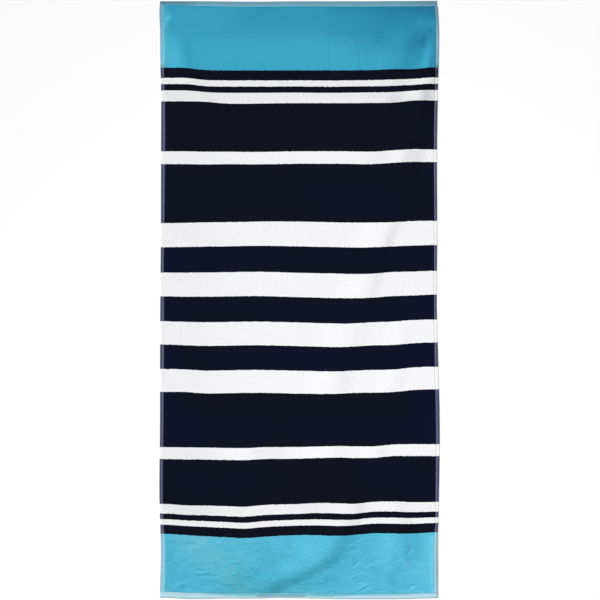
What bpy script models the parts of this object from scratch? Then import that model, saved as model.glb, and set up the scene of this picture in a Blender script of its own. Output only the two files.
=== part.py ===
"""Striped beach towel laid out flat: one soft sheet of velour terry with four folded hems.

Metres, +Z up. The cloth lies on the XY plane with its length along Y, the head end at +Y.
The origin is at the centre of the underside. The sheet starts as a grid of warp and weft
lines in the cut cloth, is laid with its real drift and folds, and then gets its thickness
upwards, so that it stays flat on the surface wherever no fold lifts it.
"""
import bpy
import numpy as np

MM = 0.001

# Cut size of the cloth
WIDTH = 700 * MM
LENGTH = 1500 * MM

# Thickness over the pile, and the section of a hem from its folded edge inwards (mm)
PILE = 3.0 * MM
HEM_COLUMNS = ("inset", "thickness")
HEM_PROFILE = (
    (0.0, 1.4),
    (2.0, 2.2),
    (9.0, 1.9),
    (11.5, 3.0),
)

# Spacing of the grid's lines between the hems
WARP_STEP = 15 * MM
WEFT_STEP = 20 * MM

# Stripes from the head end to the foot end: yarn, length along the towel (mm)
STRIPES = (
    ("turquoise", 172.5),
    ("navy", 25.0),
    ("white", 17.0),
    ("navy", 14.5),
    ("white", 28.5),
    ("navy", 119.5),
    ("white", 32.5),
    ("navy", 144.5),
    ("white", 62.0),
    ("navy", 63.5),
    ("white", 62.5),
    ("navy", 63.0),
    ("white", 61.0),
    ("navy", 60.5),
    ("white", 59.0),
    ("navy", 136.0),
    ("white", 31.0),
    ("navy", 115.0),
    ("white", 26.5),
    ("navy", 13.5),
    ("white", 16.0),
    ("navy", 23.0),
    ("turquoise", 153.5),
)

# Yarn colours: linear red, green, blue, and roughness
YARNS = {
    "turquoise": ((0.065, 0.405, 0.585), 0.95),
    "navy": ((0.007, 0.008, 0.020), 0.92),
    "white": ((0.880, 0.880, 0.900), 0.95),
}

# How far each side edge lies outside the cut line (mm), by distance from the middle (mm)
EDGE_COLUMNS = ("along", "left_out", "right_out")
EDGES = (
    (750, 0.5, -4.5),
    (728, 2.0, -2.0),
    (675, 0.5, 0.5),
    (600, 0.0, 0.0),
    (525, -2.0, -2.0),
    (375, -2.0, -4.5),
    (165, -1.5, -4.0),
    (-30, 0.0, -5.0),
    (-145, 0.5, -2.0),
    (-300, 0.5, 2.0),
    (-500, 2.0, 0.5),
    (-650, -1.5, -3.0),
    (-750, 1.0, -2.0),
)

# How far each weft line is drawn towards the head (mm): its place along the towel, then its
# draw at each of these places across (mm)
DRIFT_ACROSS = (-340, -285, -235, -185, -130, -100, 0, 50, 100, 140, 180, 240, 285, 340)
DRIFTS = (
    (750, 0.5, 0.5, 0.5, 0.0, -0.5, -0.5, 0.5, 0.5, 0.5, 0.5, 0.5, 1.0, 1.0, 1.5),
    (577, 7.0, 5.5, 1.0, 0.0, 0.0, 0.0, 0.0, 0.0, 0.0, 0.5, 1.0, 3.0, 3.5, 7.5),
    (519, 6.0, 5.5, 1.5, 0.0, 0.0, 0.0, 0.5, 0.0, 0.0, 0.5, 1.0, 2.0, 5.0, 7.0),
    (492, 5.5, 5.5, 4.0, 0.0, -0.5, 0.0, 1.0, 1.0, 1.0, 1.0, 1.5, 2.5, 7.0, 7.5),
    (357, 0.5, 0.5, -0.5, 0.0, -0.5, -0.5, 1.0, 1.0, 1.0, 0.5, 0.0, 3.5, 5.5, 5.5),
    (196, -2.5, -1.5, -0.5, 0.0, 1.0, 1.5, 1.5, 0.5, -0.5, -1.0, -1.0, 0.0, 2.5, 3.5),
    (71, -1.0, -1.0, -0.5, 0.0, 1.0, 1.0, -1.5, -2.5, -3.5, -4.5, -4.0, 0.5, 1.5, 3.5),
    (-116, 3.0, 1.0, -0.5, 0.0, 1.0, 1.0, -1.0, -2.5, -3.5, -2.0, 0.5, 2.0, 6.0, 8.0),
    (-236, 3.5, 3.0, -0.5, 0.0, 1.0, 1.0, -1.0, -1.5, -1.0, 1.0, 1.5, 3.5, 8.0, 10.0),
    (-372, 2.0, 1.5, 1.0, 0.0, 0.0, 1.5, 2.5, 4.0, 5.0, 4.0, 4.0, 9.0, 9.5, 9.5),
    (-518, 5.5, 2.0, 1.5, 0.0, -1.0, 2.0, 5.5, 8.0, 7.5, 6.5, 10.5, 12.0, 10.0, 10.5),
    (-597, 8.5, 5.5, 2.5, 0.0, -2.0, 0.5, 5.5, 5.5, 4.5, 6.0, 9.5, 10.0, 9.5, 12.5),
    (-750, 1.0, -1.5, -1.5, -0.5, 0.0, 0.5, 0.0, -1.0, -2.0, -2.5, -2.5, -2.5, -1.5, 0.5),
)

# Soft folds, each a ridge followed from the head towards the foot (mm).
# A row gives the crest's place, its height, and how far each flank runs out.
FOLD_COLUMNS = ("along", "across", "height", "left_run", "right_run")
FOLDS = {
    "long fold": (
        (585, 330, 0.0, 40, 20),
        (520, 313, 4.5, 60, 34),
        (440, 300, 3.5, 70, 40),
        (358, 284, 5.0, 78, 36),
        (250, 248, 3.0, 88, 42),
        (160, 213, 4.5, 90, 36),
        (37, 174, 4.0, 84, 38),
        (-90, 128, 2.5, 92, 58),
        (-201, 88, 3.5, 80, 54),
        (-300, 78, 2.5, 90, 52),
        (-377, 80, 3.5, 84, 48),
        (-450, 98, 3.5, 88, 46),
        (-515, 130, 4.5, 96, 46),
        (-560, 112, 6.0, 100, 48),
        (-606, 84, 8.0, 104, 56),
        (-650, 50, 9.0, 104, 66),
        (-680, 2, 9.0, 100, 70),
        (-716, -68, 7.0, 90, 72),
        (-750, -112, 3.0, 80, 60),
    ),
    "foot right fold": (
        (0, 275, 0.0, 50, 34),
        (-86, 256, 1.5, 50, 34),
        (-205, 236, 1.5, 50, 34),
        (-300, 214, 2.0, 54, 36),
        (-385, 194, 2.5, 60, 34),
        (-450, 212, 2.0, 60, 36),
        (-515, 240, 3.0, 60, 36),
        (-623, 252, 5.0, 62, 34),
        (-690, 257, 3.0, 56, 34),
        (-738, 244, 0.0, 50, 34),
    ),
    "head left fold": (
        (695, -304, 0.0, 30, 30),
        (640, -300, 3.0, 34, 30),
        (585, -288, 4.0, 40, 34),
        (492, -236, 3.0, 54, 36),
        (370, -205, 0.0, 60, 40),
    ),
    "head right fold": (
        (732, 306, 0.0, 56, 32),
        (690, 290, 4.0, 70, 40),
        (645, 262, 5.5, 76, 44),
        (590, 238, 3.0, 70, 44),
        (530, 224, 0.0, 60, 44),
    ),
    "head side lip": (
        (690, 336, 0.0, 24, 14),
        (625, 334, 5.0, 30, 16),
        (575, 333, 4.0, 32, 16),
        (530, 333, 0.0, 28, 16),
    ),
    "foot side lip": (
        (-545, 338, 0.0, 44, 14),
        (-610, 338, 3.5, 52, 14),
        (-700, 338, 4.0, 56, 14),
        (-750, 338, 2.0, 50, 14),
    ),
}


def clear_scene():
    """Removes what an empty file starts with."""
    for thing in list(bpy.data.objects):
        bpy.data.objects.remove(thing, do_unlink=True)


def columns(rows, names):
    """A table's columns by name, turned from millimetres into metres."""
    return dict(zip(names, np.array(rows, dtype=float).T * MM))


def smooth_curve(stations, values, at):
    """A smooth curve through one value for each station, or through a column of its own for
    each point. Between two stations it is a cubic, whose slope at each comes from the two
    stations beside it. At the first and last it is level, and past them it stays level."""
    order = np.argsort(stations)
    stations = stations[order]
    values = np.reshape(values, (len(stations), -1))[order]
    values = np.broadcast_to(values, (len(stations), len(at)))
    slopes = np.gradient(values, stations, axis=0)
    slopes[[0, -1]] = 0.0
    at = np.clip(at, stations[0], stations[-1])
    low = np.clip(np.searchsorted(stations, at) - 1, 0, len(stations) - 2)
    point = np.arange(len(at))
    span = stations[low + 1] - stations[low]
    t = (at - stations[low]) / span
    rise = values[low + 1, point] - values[low, point]
    leave = slopes[low, point] * span
    arrive = slopes[low + 1, point] * span
    bend = 3 * rise - 2 * leave - arrive
    twist = leave + arrive - 2 * rise
    return values[low, point] + t * (leave + t * (bend + t * twist))


def edge_shift(across, along):
    """Sideways shift of a point: the side edges wander, and the cloth between follows."""
    edges = columns(EDGES, EDGE_COLUMNS)
    left_out = smooth_curve(edges["along"], edges["left_out"], along)
    right_out = smooth_curve(edges["along"], edges["right_out"], along)
    share = across / WIDTH + 0.5
    return share * right_out - (1.0 - share) * left_out


def weft_drift(across, along):
    """Lengthwise shift of a point: a smooth surface through the table of weft lines."""
    stations, *draws = np.array(DRIFTS, dtype=float).T * MM
    places = np.array(DRIFT_ACROSS, dtype=float) * MM
    draws = np.array([smooth_curve(stations, draw, along) for draw in draws])
    return smooth_curve(places, draws, across)


def fold_lift(x, y, rows):
    """Height of one fold: half a cosine wave on each side of its crest, flat outside."""
    fold = columns(rows, FOLD_COLUMNS)
    along = fold["along"]
    crest = smooth_curve(along, fold["across"], y)
    left_run = smooth_curve(along, fold["left_run"], y)
    right_run = smooth_curve(along, fold["right_run"], y)
    height = np.maximum(smooth_curve(along, fold["height"], y), 0.0)
    run = np.where(x < crest, left_run, right_run)
    away = np.minimum(np.abs(x - crest) / run, 1.0)
    inside = (y <= along.max()) & (y >= along.min())
    return inside * height * (0.5 + 0.5 * np.cos(np.pi * away))


def thickness(across, along):
    """Thickness of the sheet: the hem's section by the nearest edge, then the pile's."""
    hem = columns(HEM_PROFILE, HEM_COLUMNS)
    inset = np.minimum(WIDTH / 2 - np.abs(across), LENGTH / 2 - np.abs(along))
    return np.interp(inset, hem["inset"], hem["thickness"])


def lines(edge_to_edge, marks, step):
    """Places of the grid's lines: the hem's section at both ends, and the stretches between
    the marks divided evenly, no wider than the step."""
    insets = columns(HEM_PROFILE, HEM_COLUMNS)["inset"]
    hem_lines = edge_to_edge / 2 - insets
    inner = hem_lines[-1]
    stops = [-inner, *sorted(marks), inner]
    places = list(-hem_lines[:-1])
    for start, end in zip(stops, stops[1:]):
        pieces = int(np.ceil((end - start) / step))
        places += list(np.linspace(start, end, pieces, endpoint=False))
    places += list(hem_lines[::-1])
    return np.array(places)


def stripe_edges():
    """Places along the towel where one stripe ends and the next begins, head end first."""
    lengths = np.array([length for _, length in STRIPES]) * MM
    return LENGTH / 2 - np.cumsum(lengths)[:-1]


def yarn_material(name):
    """A plain cotton material in the yarn's colour."""
    colour, roughness = YARNS[name]
    material = bpy.data.materials.new(name + " yarn")
    material.use_nodes = True
    shader = material.node_tree.nodes["Principled BSDF"]
    shader.inputs["Base Color"].default_value = (*colour, 1.0)
    shader.inputs["Roughness"].default_value = roughness
    shader.inputs["Metallic"].default_value = 0.0
    material.diffuse_color = (*colour, 1.0)
    return material


def colour_stripes(mesh, along):
    """Gives each face the yarn of the stripe that holds its middle."""
    names = list(YARNS)
    for name in names:
        mesh.materials.append(yarn_material(name))
    edges = stripe_edges()
    for face in mesh.polygons:
        middle = np.mean([along[index] for index in face.vertices])
        stripe = int(np.count_nonzero(edges > middle))
        face.material_index = names.index(STRIPES[stripe][0])


def make_towel():
    """Lays the cut cloth out as one sheet with its hems, its drift and its folds."""
    columns = lines(WIDTH, (), WARP_STEP)
    rows = lines(LENGTH, stripe_edges(), WEFT_STEP)
    bpy.ops.mesh.primitive_grid_add(x_subdivisions=len(columns) - 1, y_subdivisions=len(rows) - 1, size=2.0)
    towel = bpy.context.object
    towel.name = "towel"
    mesh = towel.data
    mesh.name = "towel"

    points = np.empty(len(mesh.vertices) * 3)
    mesh.vertices.foreach_get("co", points)
    points = points.reshape(-1, 3)
    across = np.interp(points[:, 0], np.linspace(-1, 1, len(columns)), columns)
    along = np.interp(points[:, 1], np.linspace(-1, 1, len(rows)), rows)

    x = across + edge_shift(across, along)
    y = along + weft_drift(across, along)
    x -= (x.max() + x.min()) / 2
    y -= (y.max() + y.min()) / 2
    z = np.zeros_like(x)
    for fold in FOLDS.values():
        z += fold_lift(x, y, fold)
    mesh.vertices.foreach_set("co", np.column_stack((x, y, z)).ravel())
    colour_stripes(mesh, along)

    pile = towel.vertex_groups.new(name="pile height")
    for index, depth in enumerate(thickness(across, along)):
        pile.add([index], float(depth / PILE), "REPLACE")
    solidify = towel.modifiers.new("thickness", "SOLIDIFY")
    solidify.thickness = PILE
    solidify.offset = 1.0
    solidify.vertex_group = pile.name
    solidify.use_rim = True
    mesh.shade_smooth()
    mesh.set_sharp_from_angle(angle=np.radians(50))
    mesh.update()
    return towel


def main():
    clear_scene()
    towel = make_towel()
    collection = bpy.data.collections.new("beach towel")
    bpy.context.scene.collection.children.link(collection)
    for owner in list(towel.users_collection):
        owner.objects.unlink(towel)
    collection.objects.link(towel)


main()
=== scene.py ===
"""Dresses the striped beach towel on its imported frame.

Metres, +Z up, in the frame's own axes. The towel is one sheet of cotton: sheared pile on its
face, looped pile on its back and flat-woven turned hems round it, sewn with a row of stitches.
Each point of the cloth has a place in the cut cloth (across, along), measured from its middle,
and every piece is laid out from such places by the same formulas as the frame's solid.
"""

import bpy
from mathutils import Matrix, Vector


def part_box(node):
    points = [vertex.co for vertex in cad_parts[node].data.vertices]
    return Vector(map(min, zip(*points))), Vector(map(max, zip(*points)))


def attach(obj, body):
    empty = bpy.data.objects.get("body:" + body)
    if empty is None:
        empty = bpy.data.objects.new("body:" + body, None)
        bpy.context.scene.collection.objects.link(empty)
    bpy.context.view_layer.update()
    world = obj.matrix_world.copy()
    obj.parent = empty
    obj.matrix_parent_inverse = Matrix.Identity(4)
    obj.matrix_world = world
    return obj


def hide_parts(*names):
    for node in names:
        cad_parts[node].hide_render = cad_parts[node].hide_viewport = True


bl_info = {
    "name": "Striped beach towel",
    "version": (1, 0, 0),
    "blender": (4, 5, 0),
    "location": "3D View > Sidebar > Towel",
    "description": "Lays out a striped terry towel with its hems and stitching on a studio floor",
    "category": "Add Mesh",
}

import bpy
import numpy as np
from bpy.props import FloatProperty, FloatVectorProperty, PointerProperty

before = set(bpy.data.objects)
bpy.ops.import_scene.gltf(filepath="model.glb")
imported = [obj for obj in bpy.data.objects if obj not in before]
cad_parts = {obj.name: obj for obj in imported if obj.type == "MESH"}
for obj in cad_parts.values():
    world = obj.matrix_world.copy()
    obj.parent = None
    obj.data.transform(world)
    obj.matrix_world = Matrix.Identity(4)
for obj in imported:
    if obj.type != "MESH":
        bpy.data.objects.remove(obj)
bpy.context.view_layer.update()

MM = 0.001
NODE = "towel"
BODY = "root"

# Cut size of the cloth, and where the pile begins on a hem of ordinary width
WIDTH = 700 * MM
LENGTH = 1500 * MM
HEM = 10 * MM
HEM_SETTLE = 45 * MM

# Section of a hem from its folded edge inwards (mm): heights of its face and of its back
SECTION_COLUMNS = ("inset", "face", "back")
HEM_SECTION = (
    (0.0, 0.9, 0.9),
    (0.3, 1.6, 0.3),
    (1.0, 2.05, 0.0),
    (2.5, 2.25, 0.0),
    (4.4, 2.15, 0.0),
    (5.9, 2.0, 0.0),
    (6.6, 1.7, 0.15),
    (7.3, 2.0, 0.0),
    (8.7, 1.95, 0.0),
    (9.5, 1.45, 0.0),
    (10.0, 1.9, 0.0),
    (10.7, 2.75, 0.0),
    (11.8, 3.05, 0.0),
    (14.0, 3.0, 0.0),
)
ROUNDED_EDGE = 3 * MM
STITCH_INSET = 6.6 * MM

# Width of each hem's face (mm) at places along it (mm)
WIDTH_COLUMNS = ("place", "width")
HEM_WIDTHS = {
    "left": (
        (-750, 11.5),
        (-620, 10.5),
        (-585, 8.8),
        (-455, 8.8),
        (-300, 8.9),
        (-140, 10.4),
        (-20, 10.1),
        (90, 8.3),
        (240, 9.5),
        (409, 11.1),
        (570, 9.0),
        (600, 10.9),
        (700, 10.3),
        (750, 10.3),
    ),
    "right": (
        (-750, 10.0),
        (-620, 9.8),
        (-570, 7.6),
        (-475, 9.3),
        (-270, 10.0),
        (-140, 9.0),
        (-20, 7.1),
        (100, 7.8),
        (300, 8.0),
        (464, 8.8),
        (570, 8.4),
        (640, 8.6),
        (700, 7.7),
        (750, 7.7),
    ),
    "foot": (
        (-350, 15.5),
        (-240, 15.9),
        (-165, 13.2),
        (-14, 12.8),
        (60, 12.0),
        (137, 13.3),
        (212, 14.6),
        (290, 14.2),
        (350, 13.5),
    ),
    "head": (
        (-350, 8.4),
        (-300, 8.9),
        (-262, 11.6),
        (-200, 12.6),
        (60, 13.0),
        (290, 13.5),
        (350, 13.5),
    ),
}

# How a hem's shade changes over its width: places from its edge (0) to the pile (1), and the
# values there. The tones are painted shade where a hem turns down at its edge, and in the navy
# hems' seam beside the pile; the whites are painted shade on the left hem and painted light on the
# right one, against how the side light falls on their rounded edges. The foot hem's paleness is
# read by the share of its own width instead.
OVER_HEM = {
    "navy tone": (
        (0.0, 0.15, 0.4, 0.6, 0.88, 0.95, 1.0),
        (0.35, 0.62, 0.84, 1.08, 1.08, 0.5, 0.35),
    ),
    "turquoise tone": ((0.0, 0.3, 0.7, 0.9, 1.0), (0.8, 1.0, 1.15, 1.25, 1.25)),
    "head tone": ((0.0, 0.15, 0.3, 0.75, 0.9, 1.0), (0.65, 0.78, 0.80, 0.83, 1.08, 1.05)),
    "foot tone": ((0.0, 0.15, 0.3, 0.5, 0.9, 1.0), (0.66, 0.94, 1.1, 1.1, 1.0, 1.0)),
    "foot pale": ((0.0, 0.85, 1.15), (0.58, 0.58, 0.14)),
    "head side pale": ((0.0, 0.6, 1.0), (0.28, 0.26, 0.16)),
    "foot side pale": ((0.0, 0.3, 0.6, 1.0), (0.42, 0.42, 0.34, 0.24)),
    "left white": ((0.0, 0.25, 0.8, 0.92, 1.0), (0.94, 1.0, 1.0, 0.9, 0.88)),
    "right white": ((0.0, 0.3, 0.8, 1.0), (1.045, 1.0, 0.975, 1.045)),
}
HEAD_PALE = 0.25

# How it changes along a hem: places (mm), and the values there. The tones are painted shade
# and light: darker under the folds' lips near the head and towards the head's corners, where the
# light falls off.
ALONG_HEM = {
    "left tone": (
        (-610, -585, 500, 530, 565, 590, 640, 695, 750),
        (0.94, 1.0, 1.0, 0.9, 0.84, 1.15, 1.04, 0.9, 0.84),
    ),
    "right tone": (
        (-610, -585, 500, 530, 565, 590, 640, 695, 750),
        (1.06, 0.96, 0.96, 0.72, 0.4, 1.05, 1.12, 0.74, 0.6),
    ),
    "head tone": ((-350, -290, -250, 250, 295, 350), (0.62, 0.72, 1.0, 0.98, 0.87, 0.78)),
    "foot pale width": (
        (-350, -260, -225, -150, 75, 130, 250, 350),
        (1.05, 0.95, 0.72, 0.42, 0.45, 0.68, 0.75, 0.9),
    ),
}

# Past this, from the middle, the side hems have the turquoise's tone
TURQUOISE_HEM = 585 * MM

# Grid lines between the hems: stretches of the cloth (mm) and the widest step in each (mm)
STEP_COLUMNS = ("start", "end", "step")
ACROSS_STEPS = (
    (-336, 60, 4.6),
    (60, 90, 2.4),
    (90, 118, 4.6),
    (118, 143, 3.6),
    (143, 162, 2.4),
    (162, 190, 3.6),
    (190, 336, 4.6),
)
ALONG_STEPS = (
    (-736, -596.6, 2.7),
    (-596.6, 577.5, 9.0),
    (577.5, 736, 4.4),
)

# A stripe's edge closer than this to the end of a stretch shares its grid line
SAME_LINE = 0.1 * MM

# Stripes from the head end to the foot end: yarn, length along the towel (mm)
STRIPES = (
    ("turquoise", 173.4),
    ("navy", 24.6),
    ("white", 17.0),
    ("navy", 14.0),
    ("white", 28.5),
    ("navy", 119.5),
    ("white", 32.8),
    ("navy", 144.3),
    ("white", 62.3),
    ("navy", 63.4),
    ("white", 62.5),
    ("navy", 62.6),
    ("white", 61.0),
    ("navy", 60.5),
    ("white", 59.0),
    ("navy", 136.0),
    ("white", 31.6),
    ("navy", 114.6),
    ("white", 26.4),
    ("navy", 13.5),
    ("white", 16.1),
    ("navy", 23.0),
    ("turquoise", 153.4),
)

# How far each side edge lies outside the cut line (mm), by distance from the middle (mm)
EDGE_COLUMNS = ("along", "left_out", "right_out")
EDGES = (
    (750, 0.5, -4.5),
    (728, 2.0, -2.0),
    (675, 0.5, 0.5),
    (600, 0.0, 0.0),
    (525, -2.0, -2.0),
    (375, -2.0, -4.5),
    (165, -1.5, -4.0),
    (-30, 0.0, -5.0),
    (-145, 0.5, -2.0),
    (-300, 0.5, 2.0),
    (-500, 2.0, 0.5),
    (-650, -1.5, -3.0),
    (-750, 1.0, -2.0),
)

# How far each weft line is drawn towards the head (mm): its place along the towel, then its
# draw at each of these places across (mm)
DRIFT_ACROSS = (-340, -285, -235, -185, -130, -100, 0, 50, 100, 140, 180, 240, 285, 340)
DRIFTS = (
    (750, 0.5, 0.5, 0.5, 0.0, -0.5, -0.5, 0.5, 0.5, 0.5, 0.5, 0.5, 1.0, 1.0, 1.5),
    (577, 7.0, 5.5, 1.0, 0.0, 0.0, 0.0, 0.0, 0.0, 0.0, 0.5, 1.0, 3.0, 3.5, 7.5),
    (519, 6.0, 5.5, 1.5, 0.0, 0.0, 0.0, 0.5, 0.0, 0.0, 0.5, 1.0, 2.0, 5.0, 7.0),
    (492, 5.5, 5.5, 4.0, 0.0, -0.5, 0.0, 1.0, 1.0, 1.0, 1.0, 1.5, 2.5, 7.0, 7.5),
    (357, 0.5, 0.5, -0.5, 0.0, -0.5, -0.5, 1.0, 1.0, 1.0, 0.5, 0.0, 3.5, 5.5, 5.5),
    (196, -2.5, -1.5, -0.5, 0.0, 1.0, 1.5, 1.5, 0.5, -0.5, -1.0, -1.0, 0.0, 2.5, 3.5),
    (71, -1.0, -1.0, -0.5, 0.0, 1.0, 1.0, -1.5, -2.5, -3.5, -4.5, -4.0, 0.5, 1.5, 3.5),
    (-116, 3.0, 1.0, -0.5, 0.0, 1.0, 1.0, -1.0, -2.5, -3.5, -2.0, 0.5, 2.0, 6.0, 8.0),
    (-236, 3.5, 3.0, -0.5, 0.0, 1.0, 1.0, -1.0, -1.5, -1.0, 1.0, 1.5, 3.5, 8.0, 10.0),
    (-372, 2.0, 1.5, 1.0, 0.0, 0.0, 1.5, 2.5, 4.0, 5.0, 4.0, 4.0, 9.0, 9.5, 9.5),
    (-518, 5.5, 2.0, 1.5, 0.0, -1.0, 2.0, 5.5, 8.0, 7.5, 6.5, 10.5, 12.0, 10.0, 10.5),
    (-597, 8.5, 5.5, 2.5, 0.0, -2.0, 0.5, 5.5, 5.5, 4.5, 6.0, 9.5, 10.0, 9.5, 12.5),
    (-750, 1.0, -1.5, -1.5, -0.5, 0.0, 0.5, 0.0, -1.0, -2.0, -2.5, -2.5, -2.5, -1.5, 0.5),
)

# Soft folds, each a ridge followed from the head towards the foot (mm). A row gives the
# crest's place, its height, and how far each flank runs out.
FOLD_COLUMNS = ("along", "across", "height", "left_run", "right_run")
FOLDS = {
    "long fold": (
        (585, 330, 0.0, 40, 20),
        (520, 313, 4.5, 60, 34),
        (440, 300, 3.5, 70, 40),
        (358, 284, 5.0, 78, 36),
        (250, 248, 3.0, 88, 42),
        (160, 213, 4.5, 90, 36),
        (37, 174, 4.0, 84, 38),
        (-90, 128, 2.5, 92, 58),
        (-201, 88, 3.5, 80, 54),
        (-300, 78, 2.5, 90, 52),
        (-377, 80, 3.5, 84, 48),
        (-450, 98, 3.5, 88, 46),
        (-515, 130, 4.5, 96, 46),
        (-560, 112, 6.0, 100, 48),
        (-606, 84, 8.0, 104, 56),
        (-650, 50, 9.0, 104, 66),
        (-680, 2, 9.0, 100, 70),
        (-716, -68, 7.0, 90, 72),
        (-750, -112, 3.0, 80, 60),
    ),
    "foot right fold": (
        (0, 275, 0.0, 50, 34),
        (-86, 256, 1.5, 50, 34),
        (-205, 236, 1.5, 50, 34),
        (-300, 214, 2.0, 54, 36),
        (-385, 194, 2.5, 60, 34),
        (-450, 212, 2.0, 60, 36),
        (-515, 240, 3.0, 60, 36),
        (-623, 252, 5.0, 62, 34),
        (-690, 257, 3.0, 56, 34),
        (-738, 244, 0.0, 50, 34),
    ),
    "head left fold": (
        (695, -304, 0.0, 30, 30),
        (640, -300, 3.0, 34, 30),
        (585, -288, 4.0, 40, 34),
        (492, -236, 3.0, 54, 36),
        (370, -205, 0.0, 60, 40),
    ),
    "head right fold": (
        (732, 306, 0.0, 56, 32),
        (690, 290, 4.0, 70, 40),
        (645, 262, 5.5, 76, 44),
        (590, 238, 3.0, 70, 44),
        (530, 224, 0.0, 60, 44),
    ),
    "head side lip": (
        (690, 336, 0.0, 24, 14),
        (625, 334, 5.0, 30, 16),
        (575, 333, 4.0, 32, 16),
        (530, 333, 0.0, 28, 16),
    ),
    "foot side lip": (
        (-545, 338, 0.0, 44, 14),
        (-610, 338, 3.5, 52, 14),
        (-700, 338, 4.0, 56, 14),
        (-750, 338, 2.0, 50, 14),
    ),
}

# Small creases (mm): each runs from one point to another, bowed to its left by
# some way, with a height (a trough below 0) and half a width
CREASE_COLUMNS = ("from_x", "from_y", "to_x", "to_y", "bow", "height", "half")
CREASES = {
    "head panel": (
        (63, 745, 74, 655, 1, 0.6, 3.4),
        (72, 674, 84, 540, 1, -1.1, 2.8),
        (145, 650, 158, 538, 2, -1.1, 3.0),
        (-340, 684, -322, 718, 3, 1.2, 10.0),
        (-334, 700, -320, 692, 0, 0.6, 5.0),
        (197, 630, 199, 608, 0, -0.9, 4.0),
        (-216, 680, -205, 676, 0, -0.5, 4.0),
        (-214, 672, -206, 660, 0, -0.3, 4.0),
        (-192, 642, -178, 633, 0, -0.4, 4.0),
        (-252, 621, -238, 609, 0, 0.4, 5.0),
        (160, 669, 170, 669, 0, -0.6, 4.0),
        (142, 660, 152, 658, 0, 0.5, 4.0),
        (238, 681, 250, 674, 0, -0.5, 4.0),
        (205, 633, 214, 633, 1, -0.5, 4.0),
    ),
    "foot panel left": (
        (-334, -602, -298, -606, 2, 1.5, 5.0),
        (-289, -611, -256, -613, -2, -1.9, 5.0),
        (-284, -619, -268, -621, 2, -1.2, 4.0),
        (-214, -617, -186, -621, 4, 0.8, 5.0),
        (-156, -626, -148, -630, 0, -1.2, 4.0),
        (-296, -656, -286, -658, 1, -1.5, 3.8),
        (-303, -666, -292, -664, 1, -1.5, 3.8),
        (-284, -660, -258, -662, 2, 1.0, 4.2),
        (-248, -666, -237, -669, 0, -1.2, 3.8),
        (-231, -664, -222, -671, 0, -1.4, 3.8),
        (-262, -676, -232, -680, -3, -1.5, 6.0),
        (-271, -686, -226, -687, 1, 1.0, 5.0),
        (-260, -695, -210, -696, 3, -2.2, 5.5),
        (-222, -684, -206, -690, 0, 1.4, 4.0),
        (-208, -676, -203, -683, 0, -1.5, 3.8),
        (-180, -660, -139, -661, 2, 1.5, 4.5),
        (-166, -690, -153, -685, 0, 1.2, 4.0),
        (-137, -686, -129, -687, 0, -1.5, 3.8),
        (-197, -710, -165, -713, -2, 1.7, 5.5),
        (-213, -722, -190, -722, 1, 1.2, 6.0),
        (-318, -729, -256, -727, 16, 1.4, 4.8),
        (-303, -730, -272, -731, 6, -1.5, 4.0),
        (-336, -716, -336, -734, 0, -1.0, 4.0),
        (-274, -700, -268, -701, 0, -1.0, 3.8),
    ),
    "foot panel middle": (
        (-79, -627, -71, -630, 0, -1.2, 4.5),
        (-22, -611, -9, -611, 0, -0.8, 4.5),
        (-11, -638, -4, -644, 0, -1.0, 4.5),
        (-113, -626, -98, -628, 1, 1.4, 4.2),
        (-112, -650, -92, -648, 1, 1.2, 4.6),
        (-118, -660, -106, -650, 0, 1.0, 4.0),
        (-104, -671, -94, -664, 0, 1.0, 4.2),
        (-121, -688, -112, -686, 0, 1.4, 4.2),
        (40, -710, 70, -709, 2, 1.5, 4.8),
        (56, -699, 73, -691, 1, 1.0, 4.8),
        (12, -726, 27, -736, -3, -2.0, 4.5),
        (72, -735, 84, -735, 0, -2.0, 4.0),
        (80, -725, 90, -732, 0, 1.5, 4.2),
        (-125, -730, -100, -733, 1, -1.5, 4.6),
    ),
    "foot panel right": (
        (136, -605, 161, -594, -2, -1.7, 4.6),
        (127, -619, 140, -615, 0, 1.4, 4.0),
        (126, -631, 150, -627, 0, -1.4, 4.2),
        (146, -623, 166, -626, 1, 1.2, 4.2),
        (151, -638, 164, -635, 0, 1.5, 4.0),
        (134, -671, 152, -657, 2, -2.0, 4.8),
        (130, -680, 143, -671, 0, 1.4, 4.2),
        (166, -665, 188, -663, 2, -1.5, 4.2),
        (172, -671, 188, -670, 1, 1.4, 4.2),
        (186, -657, 202, -656, 2, -1.5, 4.2),
        (146, -690, 156, -679, 0, -1.2, 4.2),
        (127, -702, 143, -694, 1, 1.4, 4.8),
        (141, -709, 166, -711, 1, -2.0, 4.2),
        (148, -731, 173, -716, 2, 2.0, 4.6),
        (146, -735, 168, -723, 1, -1.5, 4.2),
        (170, -730, 189, -725, 0, 1.4, 4.8),
        (191, -731, 219, -733, 1, -1.5, 4.2),
        (268, -642, 282, -624, 0, -1.7, 5.0),
        (292, -664, 294, -680, 2, -1.2, 5.0),
        (208, -684, 216, -688, 0, 1.2, 5.0),
        (248, -693, 286, -692, 2, 0.8, 5.0),
        (279, -732, 293, -721, 1, 1.7, 5.0),
        (302, -732, 314, -730, 0, -1.9, 4.6),
        (280, -717, 291, -719, 0, -1.2, 4.6),
        (322, -727, 325, -735, 0, -1.7, 4.6),
        (334, -722, 334, -736, 0, -1.5, 4.6),
        (312, -608, 323, -608, 0, 1.5, 4.8),
    ),
}

# Power of the arch along a crease: below 1 it stays high nearer to its ends
CREASE_BLUNTNESS = 0.6
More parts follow.
